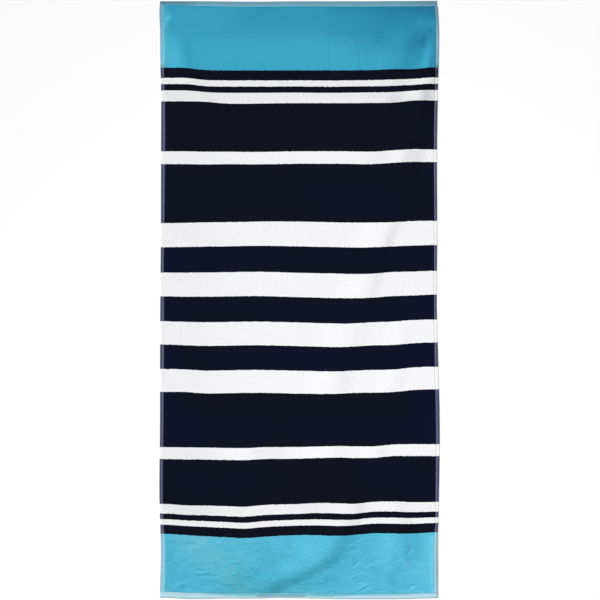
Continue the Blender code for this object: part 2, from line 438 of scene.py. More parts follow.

# Soft patches of painted shade and painted light in the pile: the shade of the folds and the
# light falling off towards the head, with some of the pile's own lie. Each a line from one point
# to another, how far out from it the patch fades away (mm), and the share by which it lightens
# the colour, or below 0 darkens it (thousandths)
PATCH_COLUMNS = ("from_x", "from_y", "to_x", "to_y", "half", "share")
PAINTED_SHADE_TABLE = {
    "head panel": (
        (-450, 800, 500, 800, 215, -310),
        (340, 800, 430, 800, 330, -300),
        (-350, 577, 350, 577, 60, 60),
        (-350, 635, 350, 635, 60, 60),
        (298, 644, 293, 634, 30, -110),
        (306, 646, 305, 618, 18, -95),
        (324, 670, 322, 650, 16, -60),
        (315, 664, 313, 640, 13, -180),
        (331, 610, 331, 586, 13, -150),
        (290, 604, 272, 588, 30, -130),
        (210, 655, 262, 645, 44, -80),
        (80, 672, 190, 662, 34, -70),
        (-322, 635, -314, 585, 46, 105),
        (-338, 691, -326, 715, 10, 260),
        (-333, 707, -322, 704, 9, 160),
        (-342, 730, -338, 670, 20, 70),
        (-300, 705, -220, 705, 70, 50),
        (326, 612, 318, 590, 14, 80),
        (327, 645, 328, 616, 12, 60),
        (330, 684, 329, 586, 10, -125),
        (150, 635, 232, 635, 36, -45),
        (-60, 727, 40, 727, 34, 50),
        (150, 727, 320, 727, 40, 30),
        (300, 675, 330, 675, 26, 40),
        (305, 696, 333, 698, 24, 170),
        (-350, 770, -180, 770, 110, 170),
        (-40, 610, 40, 600, 70, 20),
    ),
    "stripes": (
        (-300, 420, -290, -430, 190, -50),
        (-350, 545, 350, 545, 120, -80),
        (317, 525, 315, 480, 23, -195),
        (234, 497, 290, 494, 24, -90),
        (280, 388, 275, 340, 29, -145),
        (250, 540, 236, 490, 30, -50),
        (-350, -530, 60, -530, 100, -60),
        (60, -530, 340, -530, 90, -40),
        (-340, -520, -250, -530, 60, -50),
        (-340, -390, -220, -380, 70, -40),
        (-190, -385, -170, -385, 40, 30),
        (-105, -385, -50, -385, 34, -80),
        (200, 365, 250, 355, 50, -50),
    ),
    "foot panel": (
        (-350, -660, -60, -660, 110, -65),
        (-335, -600, -330, -730, 50, -30),
        (-140, -700, -66, -688, 44, -90),
        (-30, -650, 12, -655, 26, -50),
        (56, -598, -28, -682, 32, -15),
        (11, -714, 74, -702, 28, -60),
        (294, -600, 297, -636, 28, -120),
        (270, -668, 276, -684, 18, 100),
        (258, -738, 305, -738, 26, 110),
        (228, -692, 232, -706, 16, -90),
        (190, -690, 270, -712, 60, -40),
        (-310, -690, -240, -700, 40, -30),
        (150, -610, 90, -700, 60, -80),
        (40, -715, 0, -735, 46, -80),
        (-210, -725, -60, -716, 46, -120),
        (112, -604, 86, -650, 42, -60),
        (60, -666, -12, -702, 52, -40),
        (-20, -706, -50, -730, 42, -70),
        (222, -600, 225, -680, 30, 30),
        (342, -600, 343, -735, 24, 260),
        (245, -700, 280, -700, 16, 100),
        (238, -650, 244, -692, 24, -65),
        (-235, -728, -200, -728, 22, 110),
        (-100, -610, -60, -660, 34, -50),
        (-350, -735, -60, -735, 36, -60),
    ),
}

# Patches where the turquoise yarn is bleached and greyer, in the same columns: the share is
# that of the bleached colour (thousandths)
BLEACH = {
    "foot panel": (
        (-250, -620, -170, -690, 90, 700),
        (-150, -730, 20, -735, 50, 500),
        (-120, -620, -60, -640, 70, 250),
        (-300, -610, -220, -600, 40, 300),
        (0, -690, 110, -650, 60, 80),
        (318, -640, 322, -690, 40, 400),
        (342, -600, 342, -735, 18, 500),
        (-342, -600, -342, -735, 18, 300),
    ),
    "head panel": (
        (-340, 728, -340, 585, 20, 340),
        (-316, 615, -302, 588, 34, 130),
    ),
}

# Patches where the navy yarn is bluer, in the same columns: the share is that of the bluer
# colour (thousandths)
BLUER = {
    "stripes": (
        (-350, 270, 350, 270, 110, 230),
        (-350, 104, 350, 104, 90, 430),
        (-350, -23, 350, -23, 90, 400),
        (-350, -142, 350, -142, 90, 500),
        (-350, -330, 350, -330, 110, 420),
        (-350, -460, -90, -460, 90, 400),
        (-350, 110, -345, -150, 90, 500),
        (-350, -230, -300, -330, 90, 700),
        (330, -220, 350, -330, 80, 700),
        (330, 60, 340, -160, 60, 200),
        (80, 250, 220, 210, 90, 250),
        (290, 480, 320, 330, 40, 300),
        (180, -430, 340, -480, 80, 450),
    ),
}

# Patches of painted shade on the hems, along the foot hem's groove, in the columns of the pile's
# painted shade patches
HEM_PAINTED_PATCHES = {
    "foot hem": (
        (-105, -743.0, 12, -743.6, 4.2, -380),
        (40, -743.0, 85, -743.0, 4.0, -100),
    ),
}

# Patches of the hems that are less blue, in the same columns: the share is what the blue loses
# (thousandths)
HEM_DULL = {
    "left hem": (
        (-346, 130, -346, -550, 45, 150),
    ),
    "foot hem": (
        (-182, -739.5, -92, -740.5, 10, 115),
        (35, -745.5, 90, -745.5, 12, 80),
    ),
}

# Painted shade on the left and painted light on the right, by which the white pile is darker or
# lighter where it rounds down to each side hem, against how the side light falls on it there, and
# how far in from the edge that reaches
LEFT_RIM_PAINTED_SHADE = -0.10
RIGHT_RIM_PAINTED_LIGHT = 0.125
RIM_INSET = 13 * MM

# Where the foot panel's pile begins to be crushed, and how soon it is crushed fully
CRUSH_EDGE = -600 * MM
CRUSH_EASE = 12 * MM

# Unevenness of the pile's depth: how much, over what length, and its net of random values
PILE_UNEVEN = 0.12 * MM
PILE_PATCH = 26 * MM
UNEVEN_NET = 64
UNEVEN_SEED = 11

# Pile, weave and relief of the face, the back and the hems
FACE_TUFT = 1.3 * MM
BACK_TUFT = 2.1 * MM
WEAVE_PITCH = 0.9 * MM
FACE_RELIEF = 0.25 * MM
BACK_RELIEF = 0.6 * MM
HEM_RELIEF = 0.12 * MM
COTTON_SPECULAR = 0.04

# Depth inside a stripe over which its colour begins, how many times as far as single tufts
# whole rows of them stray over its edge, and how ragged the edge is on the back and on the
# hems, as shares of the face's fray
WHITE_EDGE = (0.7 * MM, 1.0 * MM)
TURQUOISE_EDGE = (-0.15 * MM, 0.15 * MM)
ROW_STRAY = 4.0
BACK_FRAY = 2.4
HEM_FRAY = 0.8

# Shade of the face's pile, as shares of its colour: how far its grain, its crush marks and its
# strokes change it (the strokes where it isn't crushed, and where it is), and what is left of it
# under the painted shade of the seam where pile meets hem. That painted shade ends between these
# insets, in widths of the hem.
GRAIN_SHADE = 0.12
MARK_SHADE = 0.045
STROKE_SHADES = (0.015, 0.065)
SEAM_PAINTED_SHADE = 0.45
SEAM_END = (1.0, 1.3)

# How a shade, with the painted shade and light in it, changes the hue: the powers that turquoise
# adds for red and takes off for blue, where it isn't crushed and where it is, and the power that
# white takes off for blue
MORE_RED = (0.4, 1.1)
LESS_BLUE = (0.25, 0.05)
WHITE_LESS_BLUE = 0.15

# The back's colours, as a share of the face's with a trace of grey, and its grain and its
# lightness; the lightness of the hem's weave between its flecks and on them
BACK_SHARE = 0.88
BACK_GREY = 0.006
BACK_GRAIN = 0.5
BACK_LIGHT = 0.95
FLECKS = (0.85, 1.15)

# Stitches
STITCH_PITCH = 3.2 * MM
STITCH_LENGTH = 2.7 * MM
THREAD_RADIUS = 0.24 * MM
STITCH_ARCH = 0.28 * MM
STITCH_SLANT = 0.3 * MM
STITCH_RINGS = 4
THREAD_SIDES = 6

# How far from the side edge the end hems' rows stop, and a stitch's thickness at its ends as a
# share of that at its middle
STITCH_END = 1.5 * MM
STITCH_TIP = 0.55

# The thread's twist on its own map, in radians for each metre along it and for once round it,
# and how far the twist and the fibres change its colour
TWIST_ALONG = 5200.0
TWIST_AROUND = 12.57
TWIST_SHADE = 0.08
FIBRE_SHADE = 0.2
THREAD_RELIEF = 0.05 * MM

# Margin round each half of the map that a bake uses
BAKE_RIM = 0.01

# The picture: what it covers across at the pile's height, where its middle lies, and that
# height; and the camera's sensor (mm)
PICTURE_SIZE = 1507.5 * MM
PICTURE_MIDDLE = (1.26 * MM, 0.18 * MM)
PICTURE_HEIGHT = 3 * MM
SENSOR = 36.0

# The panel overhead
PANEL_SIZE = 2.5
PANEL_PLACE = (0.1, -0.45, 3.2)


def colour_setting(name, description, default):
    """A colour that a user can change, linear."""
    return FloatVectorProperty(name=name, description=description, subtype="COLOR", default=default)


def number_setting(name, description, default, low=0.0, **kind):
    """A number that a user can change, no lower than low."""
    return FloatProperty(name=name, description=description, default=default, min=low, **kind)


class TowelColours(bpy.types.PropertyGroup):
    """Colours of the yarns and of the sewing thread, linear."""

    navy: colour_setting("Navy", "Navy pile yarn", (0.0048, 0.0057, 0.0128))
    navy_bluer: colour_setting("Bluer navy", "Navy yarn in its bluer bands", (0.0042, 0.0062, 0.0250))
    white: colour_setting("White", "White pile yarn", (0.88, 0.88, 0.895))
    head_turquoise: colour_setting(
        "Head turquoise", "Turquoise pile yarn at the head end", (0.046, 0.375, 0.560)
    )
    foot_turquoise: colour_setting(
        "Foot turquoise", "Turquoise pile yarn at the foot end, a little faded", (0.092, 0.480, 0.660)
    )
    bleached: colour_setting(
        "Bleached turquoise", "Turquoise yarn where it is worn greyer", (0.145, 0.500, 0.640)
    )
    # Brighter than the pile's white as painted light, against the shade of the hem's rounded relief
    hem_white_painted_light: colour_setting(
        "Hem white", "White hem, woven closer than the pile and brighter", (0.955, 0.955, 0.965)
    )
    hem_navy: colour_setting("Hem navy", "Navy hem, with its pale weft showing", (0.108, 0.111, 0.216))
    pale_weft: colour_setting("Pale weft", "Weft that shows in the turquoise hems", (0.72, 0.88, 0.98))
    worn_weft: colour_setting("Worn weft", "The same weft where it is worn and greyer", (0.74, 0.88, 0.86))
    thread: colour_setting("Thread", "Sewing thread", (0.40, 0.50, 0.64))


class TowelCloth(bpy.types.PropertyGroup):
    """How the cloth lies and how deep its pile is."""

    crease_strength: number_setting(
        "Creases", "Share of the small creases' height", 1.25, max=2.0, subtype="FACTOR"
    )
    pile_uneven: number_setting(
        "Uneven pile", "How far the pile's depth varies", PILE_UNEVEN, unit="LENGTH"
    )
    # Painted light on a slope that faces the head and painted shade on one that faces the foot, as the side
    # light falls on them
    painted_slope_light: number_setting("Pile lean", "How much lighter the pile is on a slope that faces the head", 0.2)
    fray: number_setting(
        "Stripe fray", "How far single tufts cross a stripe's edge", 0.7 * MM, unit="LENGTH"
    )


class TowelSewing(bpy.types.PropertyGroup):
    """Size of the hem stitches."""

    pitch: number_setting("Pitch", "From one stitch to the next", STITCH_PITCH, 1 * MM, unit="LENGTH")
    radius: number_setting(
        "Thread radius", "Half the thread's thickness", THREAD_RADIUS, 0.05 * MM, unit="LENGTH"
    )


class TowelStudio(bpy.types.PropertyGroup):
    """Floor, light and camera."""

    floor: colour_setting("Floor", "Colour of the floor", (0.99, 0.99, 0.99))
    floor_size: number_setting("Floor size", "Side of the floor", 24.0, 2.0, unit="LENGTH")
    key: number_setting("Key light", "Strength of the side light", 2.05)
    key_softness: number_setting(
        "Softness", "Angle that the side light fills", np.radians(16.0), subtype="ANGLE"
    )
    key_height: number_setting(
        "Key height", "Side light above the horizon", np.radians(40.0), subtype="ANGLE"
    )
    key_side: number_setting(
        "Key direction", "Side light's direction, from the left towards the foot", np.radians(-20.0),
        -np.pi, subtype="ANGLE",
    )
    fill: number_setting("Fill", "Strength of the light all round", 0.18)
    backdrop: number_setting("Backdrop", "Brightness that shows past the floor's edge", 0.6)
    overhead: number_setting("Overhead", "Power of the panel overhead", 57.0, unit="POWER")
    lens: number_setting("Lens", "Focal length", 100.0, 20.0, unit="CAMERA")


# Shape of the cloth


def columns(rows, names):
    """A table's columns by name, each number multiplied by a thousandth: millimetres become
    metres, and shares in thousandths become plain shares."""
    return dict(zip(names, np.array(rows, dtype=float).T * MM))


def half_wave(away):
    """Half a cosine wave: 1 at 0, and 0 at 1 and past it, to either side."""
    return 0.5 + 0.5 * np.cos(np.pi * np.minimum(np.abs(away), 1.0))


def smooth_curve(stations, values, at):
    """A smooth curve through one value for each station, or through a column of its own for
    each point. Between two stations it is a cubic, whose slope at each comes from the two
    stations beside it. At the first and last it is level, and past them it stays level."""
    order = np.argsort(stations)
    stations = stations[order]
    values = np.reshape(values, (len(stations), -1))[order]
    values = np.broadcast_to(values, (len(stations), len(at)))
    slopes = np.gradient(values, stations, axis=0)
    slopes[[0, -1]] = 0.0
    at = np.clip(at, stations[0], stations[-1])
    low = np.clip(np.searchsorted(stations, at) - 1, 0, len(stations) - 2)
    point = np.arange(len(at))
    span = stations[low + 1] - stations[low]
    t = (at - stations[low]) / span
    rise = values[low + 1, point] - values[low, point]
    leave = slopes[low, point] * span
    arrive = slopes[low + 1, point] * span
    bend = 3 * rise - 2 * leave - arrive
    twist = leave + arrive - 2 * rise
    return values[low, point] + t * (leave + t * (bend + t * twist))


def edge_shift(across, along):
    """Sideways shift of a point: the side edges wander, and the cloth between follows."""
    edges = columns(EDGES, EDGE_COLUMNS)
    left_out = smooth_curve(edges["along"], edges["left_out"], along)
    right_out = smooth_curve(edges["along"], edges["right_out"], along)
    share = across / WIDTH + 0.5
    return share * right_out - (1.0 - share) * left_out


def weft_drift(across, along):
    """Lengthwise shift of a point: a smooth surface through the table of weft lines."""
    stations, *draws = np.array(DRIFTS, dtype=float).T * MM
    places = np.array(DRIFT_ACROSS, dtype=float) * MM
    draws = np.array([smooth_curve(stations, draw, along) for draw in draws])
    return smooth_curve(places, draws, across)


def fold_lift(x, y, rows):
    """Height of one fold: half a cosine wave on each side of its crest, flat outside."""
    fold = columns(rows, FOLD_COLUMNS)
    along = fold.pop("along")
    crest, height, left_run, right_run = (smooth_curve(along, values, y) for values in fold.values())
    run = np.where(x < crest, left_run, right_run)
    inside = (y <= along.max()) & (y >= along.min())
    return inside * np.maximum(height, 0.0) * half_wave((x - crest) / run)


def crease_lift(x, y, rows):
    """Height of the small creases. Each follows a bowed line: along the straight line from its
    start to its end the line swings out by a parabola as high as the bow. Across it the height
    is half a cosine wave, and along it a sine arch, blunted by a power, that dies out at both
    ends."""
    lift = np.zeros_like(x)
    table = columns(rows, CREASE_COLUMNS)
    for from_x, from_y, to_x, to_y, bow, height, half in zip(*table.values()):
        length = np.hypot(to_x - from_x, to_y - from_y)
        way_x, way_y = (to_x - from_x) / length, (to_y - from_y) / length
        gone = ((x - from_x) * way_x + (y - from_y) * way_y) / length
        aside = (y - from_y) * way_x - (x - from_x) * way_y
        aside = aside - 4 * bow * gone * (1 - gone)
        inside = (gone > 0) & (gone < 1)
        arch = np.sin(np.pi * np.clip(gone, 0, 1)) ** CREASE_BLUNTNESS
        lift += inside * height * arch * half_wave(aside / half)
    return lift


def soft_patches(x, y, patches):
    """Sum of soft patches. Each has its share on its line, falls off by half a cosine wave
    with the distance from the line, and is nothing at its rim."""
    shade = np.zeros_like(x)
    for rows in patches.values():
        table = columns(rows, PATCH_COLUMNS)
        for from_x, from_y, to_x, to_y, half, share in zip(*table.values()):
            run_x, run_y = to_x - from_x, to_y - from_y
            gone = ((x - from_x) * run_x + (y - from_y) * run_y) / (run_x**2 + run_y**2)
            gone = np.clip(gone, 0, 1)
            away = np.hypot(x - from_x - gone * run_x, y - from_y - gone * run_y)
            shade += share * half_wave(away / half)
    return shade


def uneven(x, y, patch, seed):
    """A smooth random surface between -1 and 1: random values on a square net of the patch's
    size, blended between the net's corners by the cubic 3t^2 - 2t^3. The net repeats itself
    past its last value."""
    net = np.random.default_rng(seed).uniform(-1, 1, (UNEVEN_NET, UNEVEN_NET))
    column, row = x / patch, y / patch
    left, low = np.floor(column).astype(int), np.floor(row).astype(int)
    s, t = column - left, row - low
    s, t = s * s * (3 - 2 * s), t * t * (3 - 2 * t)

    def level(j):
        start, end = (net[(low + j) % UNEVEN_NET, (left + i) % UNEVEN_NET] for i in (0, 1))
        return start * (1 - s) + end * s

    return level(0) * (1 - t) + level(1) * t


def hem_width(side, place):
    """Width of one side's hem at places along it."""
    table = columns(HEM_WIDTHS[side], WIDTH_COLUMNS)
    return np.interp(place, table["place"], table["width"])


def hem_fit(inset, width):
    """Where a line of the ordinary hem comes to lie in one of another width: in proportion
    inside the hem, and from the pile's beginning evenly back to its own place."""
    inside = inset * width / HEM
    past = width + (inset - HEM) * (HEM_SETTLE - width) / (HEM_SETTLE - HEM)
    return np.where(inset < HEM, inside, np.where(inset < HEM_SETTLE, past, inset))


def fitted(across, along):
    """Places in the cut cloth of points given on hems of ordinary width."""
    left = hem_fit(across + WIDTH / 2, hem_width("left", along)) - WIDTH / 2
    right = WIDTH / 2 - hem_fit(WIDTH / 2 - across, hem_width("right", along))
    foot = hem_fit(along + LENGTH / 2, hem_width("foot", across)) - LENGTH / 2
    head = LENGTH / 2 - hem_fit(LENGTH / 2 - along, hem_width("head", across))
    return np.where(across < 0, left, right), np.where(along < 0, foot, head)


def from_edges(across, along):
    """Distance from the nearer side edge and from the nearer end edge."""
    return WIDTH / 2 - np.abs(across), LENGTH / 2 - np.abs(along)


def spread(across, along):
    """Plan place of points of the cut cloth, before the towel is centred."""
    return across + edge_shift(across, along), along + weft_drift(across, along)


def outline_middle():
    """How far the middle of the towel's outline lies from that of the frame's solid."""
    share = np.linspace(-0.5, 0.5, 401)
    side = np.full_like(share, 0.5)
    across = np.concatenate((share, share, side, -side)) * WIDTH
    along = np.concatenate((side, -side, share, share)) * LENGTH
    x, y = spread(across, along)
    low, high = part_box(NODE)
    return (x.max() + x.min() - low.x - high.x) / 2, (y.max() + y.min() - low.y - high.y) / 2


def laid_cloth(across, along, crease_strength, pile_uneven):
    """Face and back points of the laid towel, and how far the cloth is lifted there, for
    places on hems of ordinary width. Plan place: the cut cloth with its drift. Height of the
    face: the folds and creases with the section's depth, which varies a little over the pile.
    Height of the back: the same folds and creases with the hem's rounded edge, but never
    below the ground, so a trough there only presses the pile down. At a corner the end hem
    lies over the side hem: its own section runs on to the side edge."""
    shape = across.shape
    across, along = across.ravel(), along.ravel()
    side, end = from_edges(across, along)
    inset = np.minimum(side, end)
    x, y = spread(*fitted(across, along))
    middle_x, middle_y = outline_middle()
    x, y = x - middle_x, y - middle_y
    lift = sum(fold_lift(x, y, rows) for rows in FOLDS.values())
    lift = lift + crease_strength * sum(crease_lift(x, y, rows) for rows in CREASES.values())
    section = columns(HEM_SECTION, SECTION_COLUMNS)
    depth = np.interp(inset, section["inset"], section["face"])
    edge = section["inset"] < ROUNDED_EDGE
    at_corner = np.minimum(
        np.interp(end, section["inset"], section["face"]),
        np.interp(side, section["inset"][edge], section["face"][edge]),
    )
    depth = np.where(end < HEM, at_corner, depth)
    on_pile = np.clip((inset - HEM) / HEM, 0, 1)
    depth = depth + on_pile * pile_uneven * uneven(x, y, PILE_PATCH, UNEVEN_SEED)
    under = np.interp(inset, section["inset"], section["back"])
    face = np.column_stack((x, y, lift + depth)).reshape(*shape, 3)
    back = np.column_stack((x, y, np.maximum(lift, 0.0) + under)).reshape(*shape, 3)
    return face, back, lift.reshape(shape)


def stripe_edges():
    """Places along the towel where one stripe ends and the next begins, head end first."""
    lengths = np.array([length for _, length in STRIPES]) * MM
    return LENGTH / 2 - np.cumsum(lengths)[:-1]


def stripe_depth(along, yarn):
    """How far inside a stripe of the yarn a place lies, or below 0 how far outside: the
    distance to the nearest edge of such a stripe. The end stripes have no outer edge."""
    edges = stripe_edges()
    starts, ends = [LENGTH, *edges], [*edges, -LENGTH]
    inside = [
        np.minimum(start - along, along - end)
        for (name, _), start, end in zip(STRIPES, starts, ends)
        if name == yarn
    ]
    return np.max(inside, axis=0)


def grid_lines(edge_to_edge, steps, marks):
    """Places of the cloth's grid lines: the hem's section at both edges, and between the
    marks and the ends of the stretches even steps no wider than each stretch says. A mark at
    the end of a stretch adds no second line there, and the first stretch starts on the hem
    section's last line."""
    outer = edge_to_edge / 2 - columns(HEM_SECTION, SECTION_COLUMNS)["inset"]
    inner = []
    for start, end, step in zip(*columns(steps, STEP_COLUMNS).values()):
        inside = [mark for mark in marks if start + SAME_LINE < mark < end - SAME_LINE]
        stops = [start, *sorted(inside), end]
        for low, high in zip(stops, stops[1:]):
            pieces = int(np.ceil((high - low) / step))
            inner.extend(np.linspace(low, high, pieces, endpoint=False))
    return np.array([*-outer, *inner[1:], *outer[::-1]])


# Node helpers


def add_node(tree, kind, inputs=None, **settings):
    """A node with its settings. Inputs maps a socket's name or number to a value or to the
    output that feeds it."""
    made = tree.nodes.new(kind)
    for name, value in settings.items():
        setattr(made, name, value)
    for socket, value in (inputs or {}).items():
        if isinstance(value, bpy.types.NodeSocket):
            tree.links.new(value, made.inputs[socket])
        else:
            made.inputs[socket].default_value = value
    return made


def maths(tree, operation, first, *others, clamp=False):
    """Numbers joined by one operation from the left to the right, and the result."""
    for other in others:
        sockets = {0: first, 1: other}
        first = add_node(tree, "ShaderNodeMath", sockets, operation=operation, use_clamp=clamp).outputs[0]
    return first


def sine(tree, angle):
    """The sine of an angle."""
    return add_node(tree, "ShaderNodeMath", {0: angle}, operation="SINE").outputs[0]


def mix_colours(tree, factor, low, high, blend="MIX"):
    """Two colours blended by a factor, and the result."""
    sockets = {0: factor, 6: low, 7: high}
    node = add_node(tree, "ShaderNodeMix", sockets, data_type="RGBA", blend_type=blend)
    return node.outputs[2]


def shaded(tree, colour, red, green, blue):
    """A colour with each of its three channels multiplied by a number."""
    shade = add_node(tree, "ShaderNodeCombineColor", {0: red, 1: green, 2: blue}).outputs[0]
    return mix_colours(tree, 1.0, colour, shade, "MULTIPLY")


def span(tree, value, low, high, out_low=0.0, out_high=1.0, kind="SMOOTHSTEP"):
    """A number carried from one span to another, smoothly unless it is told otherwise."""
    sockets = {0: value, 1: low, 2: high, 3: out_low, 4: out_high}
    node = add_node(tree, "ShaderNodeMapRange", sockets, interpolation_type=kind)
    return node.outputs[0]


def between(tree, share, low, high):
    """A number on the straight way from one to another, by a share from 0 to 1."""
    return span(tree, share, 0.0, 1.0, low, high, "LINEAR")


def split(tree, vector):
    """The three numbers of a vector."""
    return add_node(tree, "ShaderNodeSeparateXYZ", {0: vector}).outputs


def number_at(tree, name):
    """The number that the mesh carries under a name at each point."""
    return add_node(tree, "ShaderNodeAttribute", attribute_name=name).outputs["Fac"]


def noise(tree, place, scale, detail=3.0):
    """Noise between 0 and 1 over places, coarse or fine by its scale, in waves per metre."""
    sockets = {"Vector": place, "Scale": scale, "Detail": detail}
    return add_node(tree, "ShaderNodeTexNoise", sockets).outputs[0]


def stretched_noise(tree, place, stretch, scale, detail=3.0):
    """Noise over places that are first multiplied by a number on each axis."""
    node = add_node(tree, "ShaderNodeVectorMath", {0: place, 1: stretch}, operation="MULTIPLY")
    return noise(tree, node.outputs[0], scale, detail)


def new_group(name, inputs, outputs):
    """An empty shader group with its sockets, and its input and output nodes. Sockets are
    given as name: kind, or as name: (kind, default)."""
    tree = bpy.data.node_groups.new(name, "ShaderNodeTree")
    for direction, sockets in (("INPUT", inputs), ("OUTPUT", outputs)):
        for label, kind in sockets.items():
            kind, default = kind if isinstance(kind, tuple) else (kind, None)
            socket = tree.interface.new_socket(label, in_out=direction, socket_type="NodeSocket" + kind)
            if default is not None:
                socket.default_value = default
    return tree, tree.nodes.new("NodeGroupInput").outputs, tree.nodes.new("NodeGroupOutput")


def put_out(tree, result, values):
    """Feeds a group's outputs by name."""
    for name, value in values.items():
        tree.links.new(value, result.inputs[name])


def use_group(tree, name, inputs):
    """A group placed in a tree, and its outputs."""
    return add_node(tree, "ShaderNodeGroup", inputs, node_tree=bpy.data.node_groups[name]).outputs


# Effects that several materials share


def stripe_group():
    """Colour of the stripes. The stripes' depths are stepped into masks, and the masks lay
    white and turquoise over navy. The depths are made uneven first, by a fine noise for single
    tufts and a coarser one for rows of them, less their mean. The white begins a little
    further in, because dark tufts bend over its edge."""
    tree, given, result = new_group(
        "woven stripes",
        {
            "Place": "Vector",
            "Depth": "Vector",
            "Fray": ("Float", 0.7 * MM),
            "Navy": "Color",
            "White": "Color",
            "Head": "Color",
            "Foot": "Color",
        },
        {"Colour": "Color", "White mask": "Float", "Turquoise mask": "Float"},
    )
    tufts = noise(tree, given["Place"], scale=620.0, detail=2.0)
    rows = noise(tree, given["Place"], scale=150.0, detail=2.0)
    rows = maths(tree, "MULTIPLY", rows, ROW_STRAY)
    stray = maths(tree, "SUBTRACT", maths(tree, "ADD", tufts, rows), (1 + ROW_STRAY) / 2)
    fray = maths(tree, "MULTIPLY", stray, given["Fray"])
    white_depth, turquoise_depth, _ = split(tree, given["Depth"])
    white = span(tree, maths(tree, "ADD", white_depth, fray), *WHITE_EDGE)
    turquoise = span(tree, maths(tree, "ADD", turquoise_depth, fray), *TURQUOISE_EDGE)
    at_head = maths(tree, "GREATER_THAN", split(tree, given["Place"])[1], 0.0)
    ends = mix_colours(tree, at_head, given["Foot"], given["Head"])
    colour = mix_colours(tree, white, given["Navy"], given["White"])
    colour = mix_colours(tree, turquoise, colour, ends)
    put_out(tree, result, {"Colour": colour, "White mask": white, "Turquoise mask": turquoise})


def pile_group():
    """Relief and shade of pile: round tufts from the distance to scattered points, over a
    coarser unevenness and the faint rows of the warp. The shade is around 0."""
    tree, given, result = new_group(
        "cotton pile",
        {"Place": "Vector", "Tuft": ("Float", 1.4 * MM), "Rows": ("Float", 0.2)},
        {"Height": "Float", "Shade": "Float"},
    )
    per_metre = maths(tree, "DIVIDE", 1.0, given["Tuft"])
    tufts = add_node(tree, "ShaderNodeTexVoronoi", {"Vector": given["Place"], "Scale": per_metre})
    round_top = maths(tree, "SUBTRACT", 1.0, maths(tree, "POWER", tufts.outputs["Distance"], 1.5))
    clumps = noise(tree, given["Place"], scale=130.0, detail=4.0)
    row_turn = maths(tree, "MULTIPLY", per_metre, 2 * np.pi)
    row = sine(tree, maths(tree, "MULTIPLY", split(tree, given["Place"])[0], row_turn))
    height = maths(tree, "ADD", round_top, maths(tree, "MULTIPLY", row, given["Rows"]), clumps)
    shade = maths(tree, "ADD", maths(tree, "MULTIPLY", round_top, 0.5), clumps)
    put_out(tree, result, {"Height": height, "Shade": maths(tree, "SUBTRACT", shade, 0.75)})


def weave_group():
    """Relief and flecks of the flat-woven hem: warp and weft as crossed waves, and flecks of
    pale weft where a fine noise and one drawn out along the towel are both high."""
    tree, given, result = new_group(
        "flat weave",
        {"Place": "Vector", "Pitch": ("Float", 0.8 * MM)},
        {"Height": "Float", "Fleck": "Float"},
    )
    across, along, _ = split(tree, given["Place"])
    turn = maths(tree, "DIVIDE", 2 * np.pi, given["Pitch"])
    warp, weft = (sine(tree, maths(tree, "MULTIPLY", way, turn)) for way in (across, along))
    fleck = noise(tree, given["Place"], scale=640.0)
    streak = stretched_noise(tree, given["Place"], stretch=(1.0, 0.35, 1.0), scale=900.0, detail=2.0)
    spots = span(tree, maths(tree, "MULTIPLY", fleck, streak), 0.16, 0.40)
    put_out(tree, result, {"Height": maths(tree, "MULTIPLY", warp, weft), "Fleck": spots})


# Materials


def opaque(colour):
    """A colour with the fourth number that a shader's socket takes."""
    return (*colour, 1.0)


def matt(name, roughness, specular=COTTON_SPECULAR):
    """A matt material without its colour, its tree and its shader."""
    material = bpy.data.materials.new(name)
    material.use_nodes = True
    tree = material.node_tree
    shader = tree.nodes["Principled BSDF"]
    shader.inputs["Roughness"].default_value = roughness
    shader.inputs["Specular IOR Level"].default_value = specular
    shader.inputs["Sheen Weight"].default_value = 0.0
    return material, tree, shader


def finish_cotton(tree, shader, colour, height, relief):
    """Feeds a cotton shader its colour and its relief, as deep as that is at a height of 1."""
    tree.links.new(colour, shader.inputs["Base Color"])
    sockets = {"Height": height, "Distance": relief, "Strength": 1.0}
    bump = add_node(tree, "ShaderNodeBump", sockets)
    tree.links.new(bump.outputs[0], shader.inputs["Normal"])


def map_place(tree, name):
    """Place on a piece, from its own map."""
    return add_node(tree, "ShaderNodeUVMap", uv_map=name).outputs[0]


def striped(tree, place, fray, navy, white, head, foot):
    """The stripes in four colours, and the masks of the white and of the turquoise ones."""
    depth = add_node(tree, "ShaderNodeAttribute", attribute_name="stripe_depth").outputs["Vector"]
    sockets = {"Place": place, "Depth": depth, "Fray": fray}
    sockets.update({"Navy": navy, "White": white, "Head": head, "Foot": foot})
    return use_group(tree, "woven stripes", sockets)


def soft_marks(tree, place, stretch, scale):
    """Marks from -0.5 to 0.5 with soft edges, drawn out across the towel."""
    marks = span(tree, stretched_noise(tree, place, stretch, scale), 0.35, 0.65)
    return maths(tree, "SUBTRACT", marks, 0.5)


